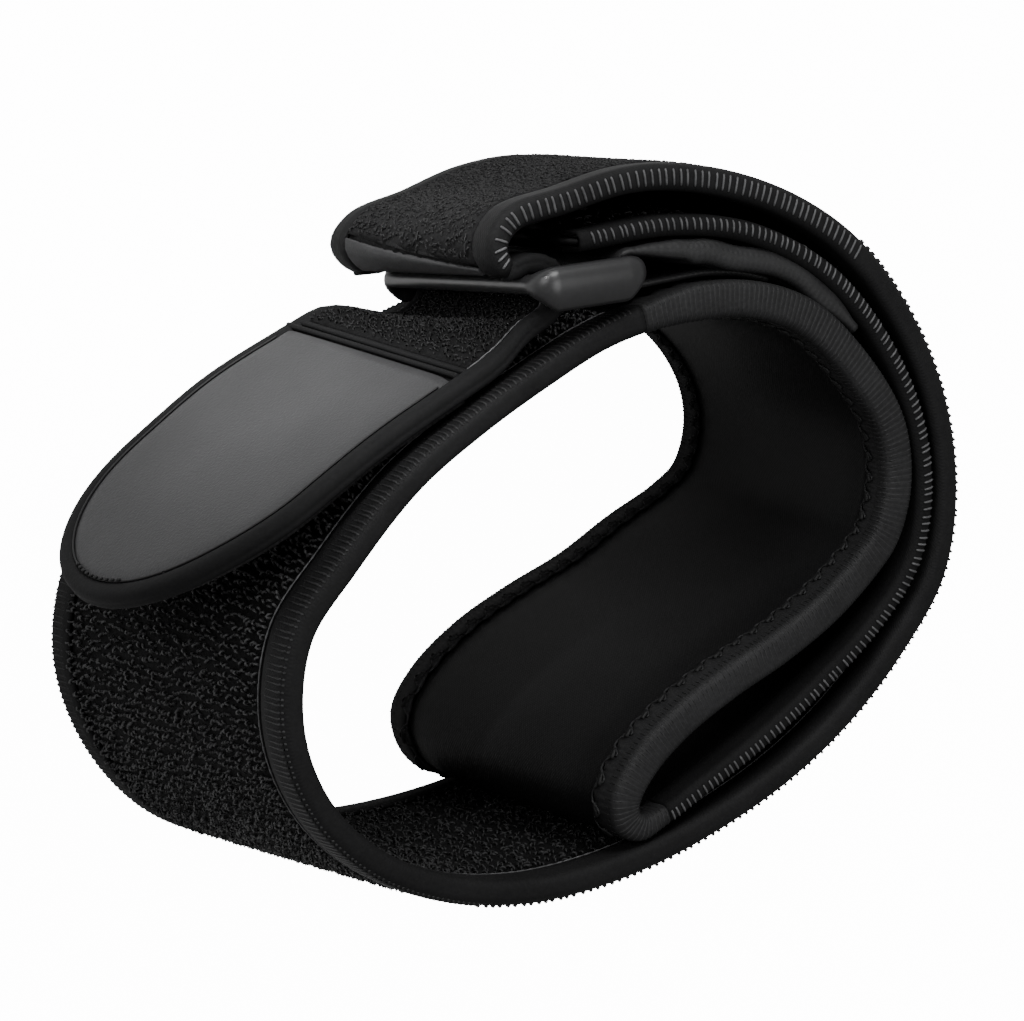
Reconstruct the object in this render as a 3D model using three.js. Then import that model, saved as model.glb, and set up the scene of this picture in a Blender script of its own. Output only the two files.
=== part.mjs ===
// A tennis elbow strap, coiled up and lying on its side. One long strip runs from a round hook tab, through a
// plastic ring, back over itself, once round the coil and on into a padded end that doubles back inside.
// Millimetres, Z up. The coil's axis is upright, and each strip stands on its far edge.
import * as THREE from 'three';

// The coil, measured over the strips' middles, and the strip's width between its far and near edges
const coil = { across: 110, over: 97 };
const stripWide = 58;

// Thickness of each cloth wall
const bandThick = 3;
const padThick = 4.4;
const tabThick = 2;

// The folded binding sewn round each edge: its depth over the face, its cloth, and how far it stands proud
const binding = { deep: 5, cloth: 0.7, proud: 0.3 };

// The space between sewn layers, and the slack where the strip slides over the ring
const clearance = 0.35;
const slack = 0.6;

// The seams where one strip is sewn to the next
const seam = 1;

// The smooth grip patch on the tab's face and the hook strip on its back
const patch = { inset: 3, thick: 0.5, long: 47 };
const hook = { inset: 2.4, thick: 0.9, long: 48 };

// The oval ring: outer size, bars, and the thicker caps that cross the strip's edges and sag a little
const ring = { across: 18, long: 51, corner: 3.8, bar: 2.6, cap: 5.6, capDeep: 3.2, sag: 0.7 };
const ringMiddle = { x: -0.055, y: 0.368, leanX: 0.1, leanY: -0.1, low: 0.18 };
const ringTurn = 0.06;

// The keeper tape, folded round the ring's right bar and sewn on the pad, its under leg the shorter one. It fills
// the ring between the caps but for some room at each side.
const tape = { thick: 1.1, room: 0.8, start: 8, long: 28, under: 15 };
const tapeWide = ring.long - 2 * (ring.capDeep + tape.room);

// How many rings of points each stretch between two stations gets
const density = { tab: 3.4, layer: 2.5, band: 3, pad: 2.6, tape: 1.5, tapeLeg: 3 };

// Each table holds a row for each section of the strip. x and y place its near edge, as shares of the coil's size
// from its middle. leanX and leanY say how far the far edge stands off plumb, and top and low how high the edges
// are, as shares of the strip's width. full is the wall's thickness there, as a share of the piece's own.
const tabRows = [
  { x: -0.588, y: -0.05, leanX: 0, leanY: 0, top: 0.98, low: 0.12, full: 1 },
  { x: -0.508, y: 0.022, leanX: 0, leanY: 0, top: 0.98, low: 0.12, full: 1 },
  { x: -0.42, y: 0.088, leanX: -0.005, leanY: 0.005, top: 0.98, low: 0.12, full: 1 },
  { x: -0.315, y: 0.163, leanX: 0, leanY: 0.02, top: 0.98, low: 0.12, full: 1 },
  { x: -0.21, y: 0.226, leanX: 0.005, leanY: 0.015, top: 0.98, low: 0.12, full: 1 },
  { x: -0.157, y: 0.257, leanX: 0.005, leanY: 0.01, top: 0.97, low: 0.14, full: 1 },
];

// Round the ring's left bar, where the strip is as wide as the ring's slot and leans with the ring. outX and outY
// count the distance at which it just clears the bar.
const barRows = [
  { outX: 0, outY: -2.15 },
  { outX: 1.35, outY: -1.3 },
  { outX: 1.7, outY: -0.15 },
  { outX: 1.2, outY: 0.75 },
  { outX: 0.1, outY: 1.05 },
];

// The fold at the top left and the way over the top
const topRows = [
  { x: -0.149, y: 0.386, leanX: 0.05, leanY: -0.08, top: 0.98, low: 0.17, full: 0.7 },
  { x: -0.163, y: 0.414, leanX: 0.035, leanY: -0.08, top: 0.98, low: 0.17, full: 0.9 },
  { x: -0.145, y: 0.448, leanX: 0.04, leanY: -0.09, top: 0.98, low: 0.17, full: 1 },
  { x: -0.075, y: 0.47, leanX: 0.04, leanY: -0.085, top: 0.99, low: 0.17, full: 1 },
  { x: 0.02, y: 0.493, leanX: 0.035, leanY: -0.07, top: 1, low: 0.16, full: 1 },
  { x: 0.13, y: 0.483, leanX: 0.035, leanY: -0.045, top: 1, low: 0.13, full: 1 },
  { x: 0.245, y: 0.44, leanX: 0.04, leanY: -0.045, top: 1, low: 0.1, full: 1 },
];

// Down the right, along the bottom and up the left to the ring
const outerRows = [
  { x: 0.34, y: 0.37, leanX: 0.05, leanY: -0.015, top: 1, low: 0.04, full: 1 },
  { x: 0.42, y: 0.26, leanX: 0.07, leanY: 0, top: 1, low: 0.01, full: 1 },
  { x: 0.47, y: 0.14, leanX: 0.08, leanY: 0, top: 1, low: 0, full: 1 },
  { x: 0.488, y: 0.01, leanX: 0.08, leanY: -0.015, top: 1, low: 0, full: 1 },
  { x: 0.472, y: -0.1, leanX: 0.08, leanY: -0.035, top: 1, low: 0, full: 1 },
  { x: 0.418, y: -0.19, leanX: 0.07, leanY: -0.06, top: 1, low: 0, full: 1 },
  { x: 0.34, y: -0.28, leanX: 0.05, leanY: -0.08, top: 1, low: 0, full: 1 },
  { x: 0.24, y: -0.357, leanX: 0.035, leanY: -0.085, top: 1, low: 0, full: 1 },
  { x: 0.115, y: -0.418, leanX: 0.015, leanY: -0.09, top: 1, low: 0, full: 1 },
  { x: 0, y: -0.452, leanX: 0, leanY: -0.08, top: 1, low: 0, full: 1 },
  { x: -0.12, y: -0.462, leanX: -0.025, leanY: -0.075, top: 1, low: 0, full: 1 },
  { x: -0.23, y: -0.44, leanX: -0.06, leanY: -0.085, top: 1, low: 0, full: 1 },
  { x: -0.33, y: -0.387, leanX: -0.085, leanY: -0.08, top: 1, low: 0, full: 1 },
  { x: -0.405, y: -0.3, leanX: -0.095, leanY: -0.05, top: 1, low: 0, full: 1 },
  { x: -0.44, y: -0.19, leanX: -0.1, leanY: -0.015, top: 1, low: 0, full: 1 },
  { x: -0.428, y: -0.07, leanX: -0.085, leanY: 0, top: 1, low: 0, full: 1 },
  { x: -0.368, y: 0.018, leanX: -0.08, leanY: 0.01, top: 1, low: 0, full: 1 },
  { x: -0.284, y: 0.117, leanX: -0.055, leanY: 0.005, top: 1, low: 0, full: 1 },
  { x: -0.195, y: 0.186, leanX: -0.025, leanY: -0.03, top: 1, low: 0, full: 1 },
  { x: -0.097, y: 0.247, leanX: -0.01, leanY: -0.075, top: 1, low: 0, full: 1 },
  { x: -0.028, y: 0.284, leanX: 0, leanY: -0.085, top: 1, low: 0, full: 1 },
];

// The pad: over the top inside the coil, down the right, then back across the hollow to the fold at the bottom
const padRows = [
  { x: 0.03, y: 0.304, leanX: 0, leanY: -0.085, top: 1, low: 0, full: 0.72 },
  { x: 0.11, y: 0.321, leanX: 0.01, leanY: -0.085, top: 1, low: 0, full: 1 },
  { x: 0.19, y: 0.318, leanX: 0.025, leanY: -0.07, top: 1, low: 0, full: 1 },
  { x: 0.27, y: 0.286, leanX: 0.05, leanY: -0.045, top: 1, low: 0, full: 1 },
  { x: 0.348, y: 0.206, leanX: 0.08, leanY: -0.015, top: 1, low: 0, full: 1 },
  { x: 0.399, y: 0.12, leanX: 0.085, leanY: -0.01, top: 1, low: 0, full: 1 },
  { x: 0.41, y: 0.035, leanX: 0.09, leanY: 0, top: 1, low: 0, full: 1 },
  { x: 0.393, y: -0.035, leanX: 0.085, leanY: -0.005, top: 1, low: 0, full: 1 },
  { x: 0.363, y: -0.075, leanX: 0.065, leanY: 0, top: 1, low: 0, full: 1 },
  { x: 0.31, y: -0.126, leanX: 0.025, leanY: 0.015, top: 1, low: 0, full: 1 },
  { x: 0.24, y: -0.173, leanX: 0.01, leanY: 0.01, top: 1, low: 0, full: 1 },
  { x: 0.16, y: -0.215, leanX: -0.005, leanY: 0.01, top: 1, low: 0, full: 1 },
  { x: 0.09, y: -0.26, leanX: -0.01, leanY: 0.015, top: 1, low: 0, full: 1 },
  { x: 0.038, y: -0.31, leanX: -0.03, leanY: 0.005, top: 1, low: 0, full: 1 },
  { x: 0.012, y: -0.358, leanX: -0.035, leanY: 0, top: 1, low: 0, full: 0.95 },
  { x: 0.014, y: -0.388, leanX: -0.02, leanY: -0.03, top: 1, low: 0, full: 0.85 },
  { x: 0.035, y: -0.402, leanX: -0.005, leanY: -0.06, top: 1, low: 0, full: 0.7 },
];

// The pad's thin leg: from that fold back up the right, between the pad and the outer strip, into the top fold
const legRows = [
  { x: 0.065, y: -0.39, leanX: 0.025, leanY: -0.085, top: 1, low: 0, full: 0.5 },
  { x: 0.115, y: -0.36, leanX: 0.035, leanY: -0.095, top: 1, low: 0, full: 0.5 },
  { x: 0.205, y: -0.304, leanX: 0.055, leanY: -0.085, top: 1, low: 0, full: 0.5 },
  { x: 0.29, y: -0.24, leanX: 0.07, leanY: -0.07, top: 1, low: 0, full: 0.5 },
  { x: 0.378, y: -0.16, leanX: 0.085, leanY: -0.045, top: 1, low: 0, full: 0.5 },
  { x: 0.435, y: -0.078, leanX: 0.085, leanY: -0.015, top: 1, low: 0, full: 0.5 },
  { x: 0.452, y: 0.015, leanX: 0.085, leanY: 0, top: 1, low: 0, full: 0.5 },
  { x: 0.438, y: 0.12, leanX: 0.08, leanY: 0, top: 1, low: 0, full: 0.5 },
  { x: 0.39, y: 0.23, leanX: 0.07, leanY: -0.01, top: 1, low: 0.02, full: 0.5 },
  { x: 0.303, y: 0.34, leanX: 0.05, leanY: -0.02, top: 1, low: 0.05, full: 0.5 },
  { x: 0.187, y: 0.408, leanX: 0.04, leanY: -0.02, top: 1, low: 0.1, full: 0.5 },
  { x: 0.075, y: 0.426, leanX: 0.035, leanY: -0.035, top: 0.99, low: 0.16, full: 0.5 },
  { x: -0.055, y: 0.413, leanX: 0.035, leanY: -0.055, top: 0.98, low: 0.19, full: 0.5 },
];

// The steps round the tab's end, the tape's turn and each of the ring's corners, in degrees
const roundEndAngles = [12, 25, 38, 51, 64, 77, 90];
const tapeTurnAngles = [70, 120, 180, 235, 262];
const cornerAngles = [0, 22.5, 45, 67.5, 90];

const ringCentre = new THREE.Vector2(ringMiddle.x * coil.across, ringMiddle.y * coil.over);
const barOffset = ring.across / 2 - ring.bar / 2;
const leftBar = ringCentre.clone().sub(new THREE.Vector2(barOffset, barOffset * ringTurn));
const ringHeight = ringMiddle.low * stripWide + ring.long / 2;
const rightBar = ringCentre.clone().add(new THREE.Vector2(barOffset, barOffset * ringTurn));

// A station of a strip: its near and far edge points and its wall's thickness
function station(x, y, row, thick) {
  const near = new THREE.Vector3(x, y, row.top * stripWide);
  const far = new THREE.Vector3(x + row.leanX * stripWide, y + row.leanY * stripWide, row.low * stripWide);
  return { near, far, thick: row.full * thick };
}

function stationsOfRows(rows, thick) {
  return rows.map((row) => station(row.x * coil.across, row.y * coil.over, row, thick));
}

// A point that leans with the ring, from its place at the strip's near edge
function ringPoint(x, y, height) {
  const below = stripWide - height;
  return new THREE.Vector3(x + ringMiddle.leanX * below, y + ringMiddle.leanY * below, height);
}

function stationsRoundBar(rows) {
  const reach = ring.bar / 2 + slack + tabThick / 2;
  const slotHalf = ring.long / 2 - ring.corner - slack;
  return rows.map(({ outX, outY }) => {
    const edge = (height) => ringPoint(leftBar.x + outX * reach, leftBar.y + outY * reach, height);
    return { near: edge(ringHeight + slotHalf), far: edge(ringHeight - slotHalf), thick: tabThick };
  });
}

// A strip's route. A place on it is counted in stations, so 2.5 is halfway from the third to the fourth.
class Route {
  constructor(stations) {
    this.last = stations.length - 1;
    this.stations = stations;
    this.near = new THREE.CatmullRomCurve3(stations.map((each) => each.near), false, 'centripetal');
    this.far = new THREE.CatmullRomCurve3(stations.map((each) => each.far), false, 'centripetal');
  }

  // The two edges, the wall's half thickness and the level direction to the right of the way along. The edges'
  // heights run straight from one station to the next, so that what lies on the ground stays on it.
  at(place) {
    const share = THREE.MathUtils.clamp(place / this.last, 0, 1);
    const before = Math.min(Math.floor(share * this.last), this.last - 1);
    const [from, to] = this.stations.slice(before, before + 2);
    const onward = share * this.last - before;
    const near = this.near.getPoint(share).setZ(THREE.MathUtils.lerp(from.near.z, to.near.z, onward));
    const far = this.far.getPoint(share).setZ(THREE.MathUtils.lerp(from.far.z, to.far.z, onward));
    const half = THREE.MathUtils.lerp(from.thick, to.thick, onward) / 2;
    const along = this.near.getTangent(share).add(this.far.getTangent(share));
    const right = new THREE.Vector3(along.y, -along.x, 0).normalize();
    return { near, far, half, right };
  }

  middle(place) {
    const { near, far } = this.at(place);
    return near.add(far).multiplyScalar(0.5);
  }

  // The place a distance further along the strip's middle
  placeAfter(start, distance) {
    const step = 0.02;
    let place = start;
    let gone = 0;
    let here = this.middle(place);
    while (gone < distance && place < this.last) {
      place += step;
      const next = this.middle(place);
      gone += next.distanceTo(here);
      here = next;
    }
    return place;
  }

  placeBefore(end, distance) {
    let place = end;
    while (place > 0 && this.placeAfter(place, distance) > end) place -= 0.01;
    return place;
  }
}

// Places from one to another, a fixed number for each section
function evenPlaces(from, to, perSection) {
  const count = Math.max(2, Math.round((to - from) * perSection));
  return Array.from({ length: count + 1 }, (_, index) => THREE.MathUtils.lerp(from, to, index / count));
}

// A closed body through rings of points, each ring's flat outline giving its end caps
function bodyThroughRings(rings, outline, closed) {
  const size = rings[0].length;
  const positions = rings.flat().flatMap((point) => [point.x, point.y, point.z]);
  const faces = [];
  const joins = closed ? rings.length : rings.length - 1;
  for (let step = 0; step < joins; step += 1) {
    const here = step * size;
    const next = ((step + 1) % rings.length) * size;
    for (let side = 0; side < size; side += 1) {
      const beside = (side + 1) % size;
      faces.push(here + side, here + beside, next + beside, here + side, next + beside, next + side);
    }
  }
  if (!closed) {
    const lastRing = (rings.length - 1) * size;
    const turnsAsOutline = (corners) => {
      const area = THREE.ShapeUtils.area(corners.map((corner) => outline[corner]));
      return Math.sign(area) === Math.sign(THREE.ShapeUtils.area(outline));
    };
    THREE.ShapeUtils.triangulateShape(outline, []).forEach((corners) => {
      const [a, b, c] = turnsAsOutline(corners) ? corners : [...corners].reverse();
      faces.push(c, b, a, lastRing + a, lastRing + b, lastRing + c);
    });
  }
  const geometry = new THREE.BufferGeometry();
  geometry.setAttribute('position', new THREE.Float32BufferAttribute(positions, 3));
  geometry.setIndex(faces);
  if (volumeInside(geometry) < 0) {
    geometry.setIndex(faces.reverse());
  }
  geometry.computeVertexNormals();
  return geometry;
}

function volumeInside(geometry) {
  const { index } = geometry;
  const corner = (at) => new THREE.Vector3().fromBufferAttribute(geometry.attributes.position, index.getX(at));
  let total = 0;
  for (let at = 0; at < index.count; at += 3) {
    total += corner(at).dot(corner(at + 1).cross(corner(at + 2))) / 6;
  }
  return total;
}

// A strip's section point: in counts from the near edge, or from the far one, and off to the strip's right
const nearSide = (into, off) => ({ fromNear: true, into, off });
const farSide = (into, off) => ({ fromNear: false, into, off });

function stripBody(route, places, sectionAt) {
  const rings = [];
  let outline = [];
  places.forEach((place) => {
    const { near, far, half, right } = route.at(place);
    const wide = near.distanceTo(far);
    const section = sectionAt(half, place);
    rings.push(section.map(({ fromNear, into, off }) => {
      const share = fromNear ? into / wide : 1 - into / wide;
      return near.clone().lerp(far, share).addScaledVector(right, off);
    }));
    outline = section.map(({ fromNear, into, off }) => new THREE.Vector2(off, fromNear ? into : wide - into));
  });
  return bodyThroughRings(rings, outline, false);
}

// A plain wall, or a layer on one of its faces, from one offset to another
const plainSection = (trim, from, to) => [
  nearSide(trim, from),
  farSide(trim, from),
  farSide(trim, to),
  nearSide(trim, to),
];

// A wall that thins to a lip along both edges, where the binding goes round it
function boundSection(half) {
  const lip = half + binding.proud - binding.cloth - clearance;
  const lipStart = binding.cloth + clearance;
  const lipEnd = binding.deep + clearance;
  return [
    nearSide(lipStart, -lip), nearSide(lipEnd, -lip), nearSide(lipEnd, -half),
    farSide(lipEnd, -half), farSide(lipEnd, -lip), farSide(lipStart, -lip),
    farSide(lipStart, lip), farSide(lipEnd, lip), farSide(lipEnd, half),
    nearSide(lipEnd, half), nearSide(lipEnd, lip), nearSide(lipStart, lip),
  ];
}

// The binding's folded section, open towards the strip's middle
function bindingSection(half, side) {
  const outer = half + binding.proud;
  const inner = outer - binding.cloth;
  return [
    side(0, -outer), side(binding.deep, -outer), side(binding.deep, -inner), side(binding.cloth, -inner),
    side(binding.cloth, inner), side(binding.deep, inner), side(binding.deep, outer), side(0, outer),
  ];
}

// The tab's end is half a circle across the strip: each layer keeps its own inset from it
function roundEndPlaces(route, inset, long) {
  const radius = tabRadius - inset;
  const angles = roundEndAngles.map(THREE.MathUtils.degToRad);
  const round = angles.map((angle) => route.placeAfter(0, inset + radius * (1 - Math.cos(angle))));
  const straight = evenPlaces(round[round.length - 1], route.placeAfter(0, inset + long), density.layer);
  const trims = angles.map((angle) => inset + radius * (1 - Math.sin(angle)));
  return { places: [...round, ...straight.slice(1)], trimAt: (index) => trims[index] ?? inset };
}

function roundEndBody(route, inset, long, from, to) {
  const { places, trimAt } = roundEndPlaces(route, inset, long);
  return stripBody(route, places, (half, place) => {
    const base = half * Math.sign(from);
    return plainSection(trimAt(places.indexOf(place)), base + from, base + to);
  });
}

function paint(name, geometry, colour, roughness) {
  const material = new THREE.MeshStandardMaterial({ color: colour, roughness, metalness: 0, side: THREE.FrontSide });
  const mesh = new THREE.Mesh(geometry, material);
  mesh.name = name;
  return mesh;
}

const strip = new Route([
  ...stationsOfRows(tabRows, tabThick),
  ...stationsRoundBar(barRows),
  ...stationsOfRows(topRows, bandThick),
  ...stationsOfRows(outerRows, bandThick),
  ...stationsOfRows(padRows, padThick),
  ...stationsOfRows(legRows, padThick),
]);
const tabRadius = ((tabRows[0].top - tabRows[0].low) * stripWide) / 2;

// The tab joins the band under the top fold, and the band joins the pad beside the ring
const bandStart = tabRows.length + barRows.length;
const padStart = bandStart + topRows.length + outerRows.length;
const tabEnd = strip.placeBefore(bandStart, seam);
const bandEnd = strip.placeBefore(padStart, seam);
const bandPlaces = evenPlaces(bandStart, bandEnd, density.band);
const padPlaces = evenPlaces(padStart, strip.last, density.pad);

function makeTab() {
  const { places, trimAt } = roundEndPlaces(strip, 0, 2 * tabRadius);
  const rest = evenPlaces(places[places.length - 1], tabEnd, density.tab).slice(1);
  const all = [...places, ...rest];
  const body = stripBody(strip, all, (half, place) => plainSection(trimAt(all.indexOf(place)), -half, half));
  return paint('tab_strap', body, 0x2c2c30, 0.75);
}

function makePatch() {
  const body = roundEndBody(strip, patch.inset, patch.long, -clearance, -clearance - patch.thick);
  return paint('tab_patch', body, 0x46464a, 0.5);
}

function makeHook() {
  const body = roundEndBody(strip, hook.inset, hook.long, clearance, clearance + hook.thick);
  return paint('tab_hook', body, 0x1b1b1d, 0.9);
}

function makeBound(name, places, colours) {
  const edge = (side) => stripBody(strip, places, (half) => bindingSection(half, side));
  return [
    paint(`${name}`, stripBody(strip, places, boundSection), colours.face, 0.95),
    paint(`${name}_edge_near`, edge(nearSide), colours.edge, 0.8),
    paint(`${name}_edge_far`, edge(farSide), colours.edge, 0.8),
  ];
}

// An oval ring: two bars joined by thicker caps, carried round an outline with four round corners
function makeRing() {
  const sides = 8;
  const quarters = [[1, 1], [-1, 1], [-1, -1], [1, -1]];
  const stations = quarters.flatMap(([acrossSign, upSign], quarter) => cornerAngles.map((angle) => {
    const turn = THREE.MathUtils.degToRad(90 * quarter + angle);
    return {
      out: new THREE.Vector2(Math.cos(turn), Math.sin(turn)),
      across: acrossSign * (ring.across / 2 - ring.corner),
      up: upSign * (ring.long / 2 - ring.corner),
    };
  }));
  const rings = stations.map(({ out, across, up }) => {
    const capShare = Math.abs(out.y);
    const thick = THREE.MathUtils.lerp(ring.bar, ring.cap, capShare) / 2;
    const deep = THREE.MathUtils.lerp(ring.bar, ring.capDeep, capShare) / 2;
    return Array.from({ length: sides }, (_, side) => {
      const round = (2 * Math.PI * side) / sides;
      const reach = ring.corner - deep + deep * Math.cos(round);
      const along = across + out.x * reach;
      const height = ringHeight + up + out.y * reach;
      const offset = thick * Math.sin(round) - ring.sag * capShare;
      return ringPoint(ringCentre.x + along - offset * ringTurn, ringCentre.y + along * ringTurn + offset, height);
    });
  });
  return paint('ring', bodyThroughRings(rings, [], true), 0x3a3b3e, 0.35);
}

// The tape's two legs lie on the pad's outer face, joined by a turn round the ring's right bar
function makeKeeperTape() {
  const first = strip.placeAfter(padStart, tape.start);
  const end = strip.placeAfter(first, tape.long);
  const high = ringHeight + tapeWide / 2;
  const low = ringHeight - tapeWide / 2;
  const onPad = (place, layer) => {
    const { near, far, half, right } = strip.at(place);
    const wide = near.distanceTo(far);
    const out = -(half + slack + (tape.thick + clearance) * layer + tape.thick / 2);
    return {
      near: near.clone().lerp(far, (near.z - high) / wide).addScaledVector(right, out),
      far: far.clone().lerp(near, (low - far.z) / wide).addScaledVector(right, out),
      thick: tape.thick,
    };
  };
  const reach = ring.bar / 2 + slack + tape.thick / 2;
  const roundBar = tapeTurnAngles.map(THREE.MathUtils.degToRad).map((angle) => {
    const out = new THREE.Vector2(Math.cos(angle), Math.sin(angle)).multiplyScalar(reach);
    const edge = (height) => ringPoint(rightBar.x + out.x, rightBar.y + out.y, height);
    return { near: edge(high), far: edge(low), thick: tape.thick };
  });
  const underEnd = strip.placeAfter(first, tape.under);
  const liftAt = (place) => 1 - THREE.MathUtils.smoothstep(place, underEnd, (underEnd + end) / 2);
  const route = new Route([
    ...evenPlaces(first, end, density.tapeLeg).map((place) => onPad(place, liftAt(place))).reverse(),
    ...roundBar,
    ...evenPlaces(first, underEnd, density.tapeLeg).map((place) => onPad(place, 0)),
  ]);
  const places = evenPlaces(0, route.last, density.tape);
  const body = stripBody(route, places, (half) => plainSection(0, -half, half));
  return paint('keeper_tape', body, 0x29292c, 0.85);
}

const strap = new THREE.Group();
strap.add(
  makeTab(),
  makePatch(),
  makeHook(),
  ...makeBound('strap_band', bandPlaces, { face: 0x1d1d1f, edge: 0x303033 }),
  ...makeBound('pad', padPlaces, { face: 0x161618, edge: 0x343438 }),
  makeRing(),
  makeKeeperTape(),
);

// The origin is under the middle of the coiled strap, on the surface it stands on
const box = new THREE.Box3().setFromObject(strap);
strap.position.set(-(box.min.x + box.max.x) / 2, -(box.min.y + box.max.y) / 2, -box.min.z);
const model = new THREE.Group();
model.add(strap);

export default model;
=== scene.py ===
import bmesh
import bpy
import numpy as np
from mathutils import Matrix


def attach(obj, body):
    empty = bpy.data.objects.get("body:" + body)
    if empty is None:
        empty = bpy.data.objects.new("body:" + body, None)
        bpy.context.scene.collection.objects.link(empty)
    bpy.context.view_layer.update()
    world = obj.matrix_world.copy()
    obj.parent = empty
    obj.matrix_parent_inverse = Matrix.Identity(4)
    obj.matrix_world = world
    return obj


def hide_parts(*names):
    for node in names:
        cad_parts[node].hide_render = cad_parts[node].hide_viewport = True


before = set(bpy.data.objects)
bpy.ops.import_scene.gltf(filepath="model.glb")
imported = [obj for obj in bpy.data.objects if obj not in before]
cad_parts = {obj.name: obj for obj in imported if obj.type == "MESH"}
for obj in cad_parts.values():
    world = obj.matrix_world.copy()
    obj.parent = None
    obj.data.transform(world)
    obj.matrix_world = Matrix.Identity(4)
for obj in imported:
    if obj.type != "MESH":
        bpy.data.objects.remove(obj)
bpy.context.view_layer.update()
mm = 0.001
chance = np.random.default_rng(11)

# the strip's route, the same as the solid model's, in millimetres
coil = {"across": 110, "over": 97, "stripWide": 58, "shift": (2.3313, 0.6788, 0.0)}
walls = {"tab": 2.0, "band": 3.0, "pad": 4.4}
clear = {"layer": 0.35, "slack": 0.6, "tabGap": 0.2, "padGap": 0.15, "legGap": 0.1}
ring = {"across": 18, "long": 51, "corner": 3.8, "bar": 2.6, "cap": 5.6, "capDeep": 3.2, "sag": 0.7, "x": -0.055,
        "y": 0.368, "leanX": 0.1, "leanY": -0.1, "low": 0.18, "turn": 0.06, "belly": 1.9, "under": 0.65}
tape = {"thick": 1.1, "room": 0.8, "start": 8, "long": 28, "under": 15, "plump": 1.5, "rise": 1.3, "fill": 0.75,
        "lowerIn": 4.0, "lowerAfter": (8, 4), "swellAt": 1, "swellLong": 4, "turn": (70, 120, 180, 235, 262),
        "hemDeep": (0.1, 0.35, 0.9, 1.6, 2.0, 2.4, 8, 20), "hemHigh": (0.45, 0.8, 1, 1, 0.85, 1, 1, 1)}

# columns: x, y, leanX, leanY, top, low, full
tabRows = [
    (-0.588, -0.05, 0, 0, 0.98, 0.12, 1), (-0.508, 0.022, 0, 0, 0.98, 0.12, 1),
    (-0.42, 0.088, -0.005, 0.005, 0.98, 0.12, 1), (-0.315, 0.163, 0, 0.02, 0.98, 0.12, 1),
    (-0.21, 0.226, 0.005, 0.015, 0.98, 0.12, 1), (-0.157, 0.257, 0.005, 0.01, 0.97, 0.14, 1)]
barRows = [(0, -2.15), (1.35, -1.3), (1.7, -0.15), (1.2, 0.75), (0.1, 1.05)]  # outX, outY
topRows = [
    (-0.149, 0.386, 0.05, -0.08, 0.98, 0.17, 0.7), (-0.163, 0.414, 0.035, -0.08, 0.98, 0.17, 0.9),
    (-0.145, 0.448, 0.04, -0.09, 0.98, 0.17, 1), (-0.075, 0.47, 0.04, -0.085, 0.99, 0.17, 1),
    (0.02, 0.493, 0.035, -0.07, 1, 0.16, 1), (0.13, 0.483, 0.035, -0.045, 1, 0.13, 1),
    (0.245, 0.44, 0.04, -0.045, 1, 0.1, 1)]
outerRows = [
    (0.34, 0.37, 0.05, -0.015, 1, 0.04, 1), (0.42, 0.26, 0.07, 0, 1, 0.01, 1), (0.47, 0.14, 0.08, 0, 1, 0, 1),
    (0.488, 0.01, 0.08, -0.015, 1, 0, 1), (0.472, -0.1, 0.08, -0.035, 1, 0, 1), (0.418, -0.19, 0.07, -0.06, 1, 0, 1),
    (0.34, -0.28, 0.05, -0.08, 1, 0, 1), (0.24, -0.357, 0.035, -0.085, 1, 0, 1), (0.115, -0.418, 0.015, -0.09, 1, 0, 1),
    (0, -0.452, 0, -0.08, 1, 0, 1), (-0.12, -0.462, -0.025, -0.075, 1, 0, 1), (-0.23, -0.44, -0.06, -0.085, 1, 0, 1),
    (-0.33, -0.387, -0.085, -0.08, 1, 0, 1), (-0.405, -0.3, -0.095, -0.05, 1, 0, 1),
    (-0.44, -0.19, -0.1, -0.015, 1, 0, 1), (-0.428, -0.07, -0.085, 0, 1, 0, 1), (-0.368, 0.018, -0.08, 0.01, 1, 0, 1),
    (-0.284, 0.117, -0.055, 0.005, 1, 0, 1), (-0.195, 0.186, -0.025, -0.03, 1, 0, 1),
    (-0.097, 0.247, -0.01, -0.075, 1, 0, 1), (-0.028, 0.284, 0, -0.085, 1, 0, 1)]
padRows = [
    (0.03, 0.304, 0, -0.085, 1, 0, 0.72), (0.11, 0.321, 0.01, -0.085, 1, 0, 1), (0.19, 0.318, 0.025, -0.07, 1, 0, 1),
    (0.27, 0.286, 0.05, -0.045, 1, 0, 1), (0.348, 0.206, 0.08, -0.015, 1, 0, 1), (0.399, 0.12, 0.085, -0.01, 1, 0, 1),
    (0.41, 0.035, 0.09, 0, 1, 0, 1), (0.393, -0.035, 0.085, -0.005, 1, 0, 1), (0.363, -0.075, 0.065, 0, 1, 0, 1),
    (0.31, -0.126, 0.025, 0.015, 1, 0, 1), (0.24, -0.173, 0.01, 0.01, 1, 0, 1), (0.16, -0.215, -0.005, 0.01, 1, 0, 1),
    (0.09, -0.26, -0.01, 0.015, 1, 0, 1), (0.038, -0.31, -0.03, 0.005, 1, 0, 1), (0.012, -0.358, -0.035, 0, 1, 0, 0.95),
    (0.014, -0.388, -0.02, -0.03, 1, 0, 0.85), (0.035, -0.402, -0.005, -0.06, 1, 0, 0.7)]
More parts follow.
